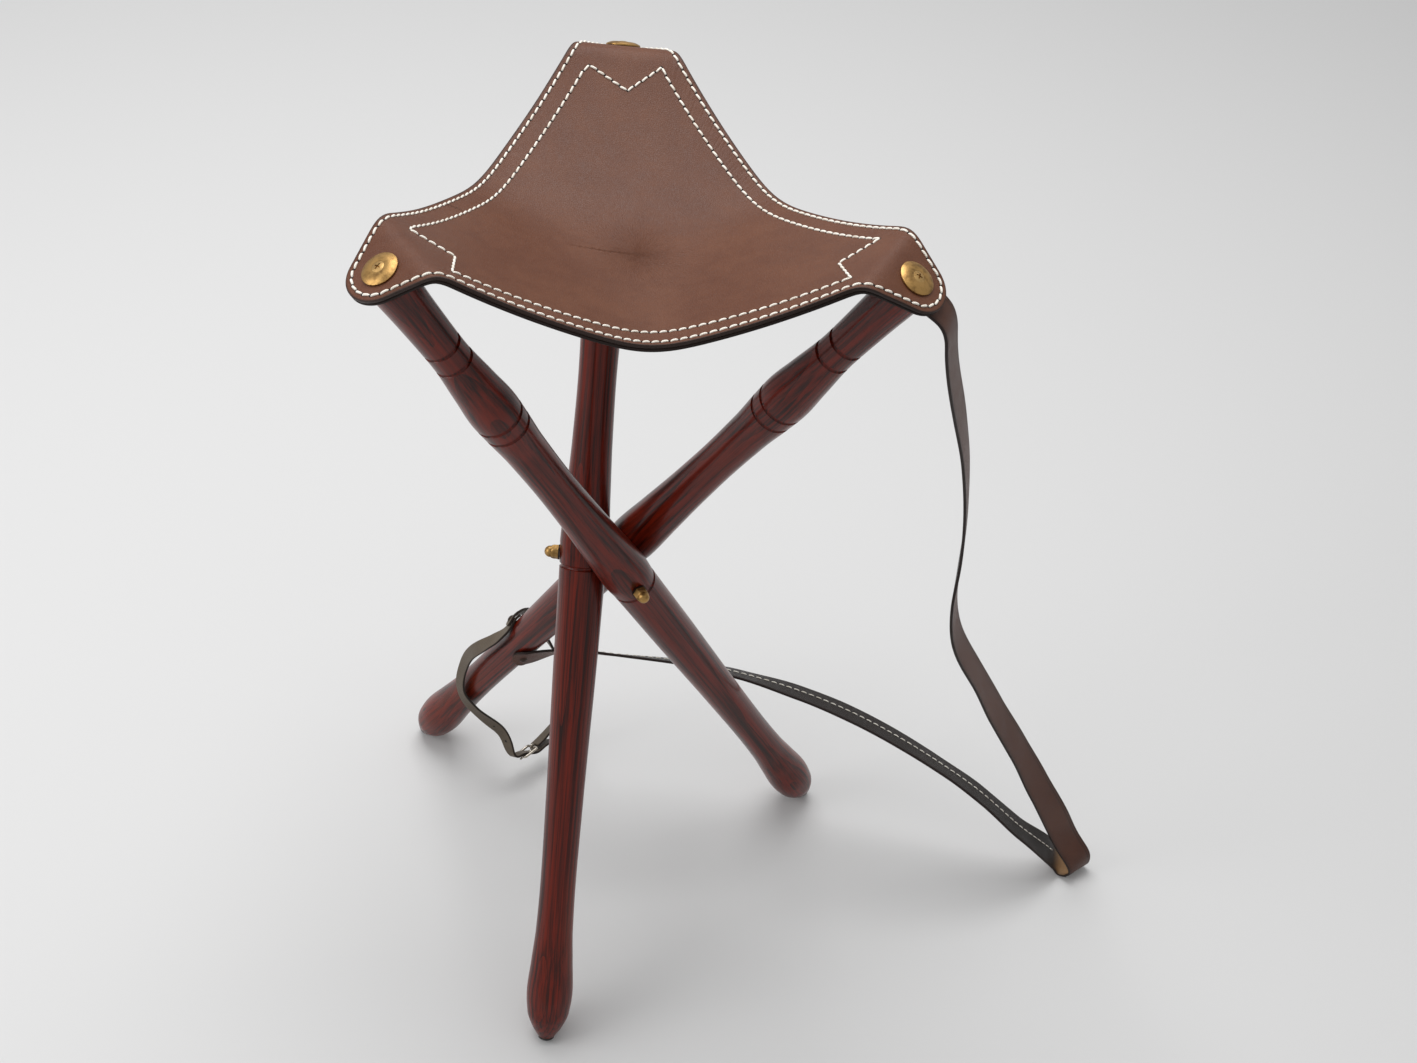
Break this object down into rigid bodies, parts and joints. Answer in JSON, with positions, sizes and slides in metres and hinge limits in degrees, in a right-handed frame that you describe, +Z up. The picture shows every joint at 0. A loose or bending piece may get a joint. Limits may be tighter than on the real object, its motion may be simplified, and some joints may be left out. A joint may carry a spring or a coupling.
{
  "type": "folding stick stool",
  "caption": "Folding walking stick seat: turned varnished legs pivoting on a centre bolt, a stitched leather sling seat screwed to their tops, a carrying strap and a buckled closing strap.",
  "frame": {"origin": "on the floor under the middle of the open stool, left of the free carrying strap out of account", "axes": "+Z up; +Y towards the back corner of the seat; +X towards the right"},
  "size_m": [0.6434, 0.4343, 0.7138],
  "materials": {
    "varnished_wood": "varnished, dark reddish brown",
    "foot_rubber": "matte",
    "polished_brass": "polished",
    "dark_steel": "dark, satin",
    "bolt_steel": "satin",
    "seat_leather": "smooth, waxed",
    "seat_lining": "flesh side out",
    "strap_leather": "smooth, waxed",
    "closing_leather": "smooth, waxed",
    "buckle_metal": "nickel plated"
  },
  "bodies": {
    "hub": {"centre_bolt": "bolt_steel", "pivot_washer_left": "dark_steel", "pivot_washer_back": "dark_steel", "pivot_washer_right": "dark_steel", "dome_nut_left": "polished_brass", "dome_nut_back": "polished_brass", "dome_nut_right": "polished_brass", "seat_leather": "seat_leather", "seat_lining": "seat_lining"},
    "left": {"leg_left": "varnished_wood", "foot_pad_left": "foot_rubber", "corner_spacer_left": "polished_brass", "corner_washer_left": "polished_brass", "corner_screw_left": "polished_brass"},
    "back": {"leg_back": "varnished_wood", "foot_pad_back": "foot_rubber", "corner_spacer_back": "polished_brass", "corner_washer_back": "polished_brass", "corner_screw_back": "polished_brass"},
    "right": {"leg_right": "varnished_wood", "foot_pad_right": "foot_rubber", "corner_spacer_right": "polished_brass", "corner_washer_right": "polished_brass", "corner_screw_right": "polished_brass", "carry_strap": "strap_leather", "carry_strap_screw": "dark_steel", "closing_strap": "closing_leather", "closing_strap_buckle_end": "closing_leather", "closing_strap_screw": "dark_steel", "buckle_frame": "buckle_metal", "buckle_prong": "buckle_metal"}
  },
  "joints": [
    {"name": "leg_left_fold", "type": "hinge", "parent": "hub", "child": "left", "pos_m": [-0.012, -0.003, 0.36178], "axis": [-0.5, 0.866, 0], "range_deg": [0, 27], "deforming": ["seat_leather", "seat_lining", "closing_strap", "closing_strap_buckle_end", "buckle_frame", "buckle_prong"]},
    {"name": "leg_right_fold", "type": "hinge", "parent": "hub", "child": "right", "pos_m": [-0.012, -0.003, 0.36178], "axis": [-0.5, -0.866, 0], "range_deg": [0, 27]},
    {"name": "leg_back_fold", "type": "hinge", "parent": "hub", "child": "back", "pos_m": [-0.012, -0.003, 0.36178], "axis": [1, 0, 0], "range_deg": [0, 27]}
  ],
  "couplings": [
    {"joint": "leg_right_fold", "follows": "leg_left_fold", "ratio": 1},
    {"joint": "leg_back_fold", "follows": "leg_left_fold", "ratio": 1}
  ]
}
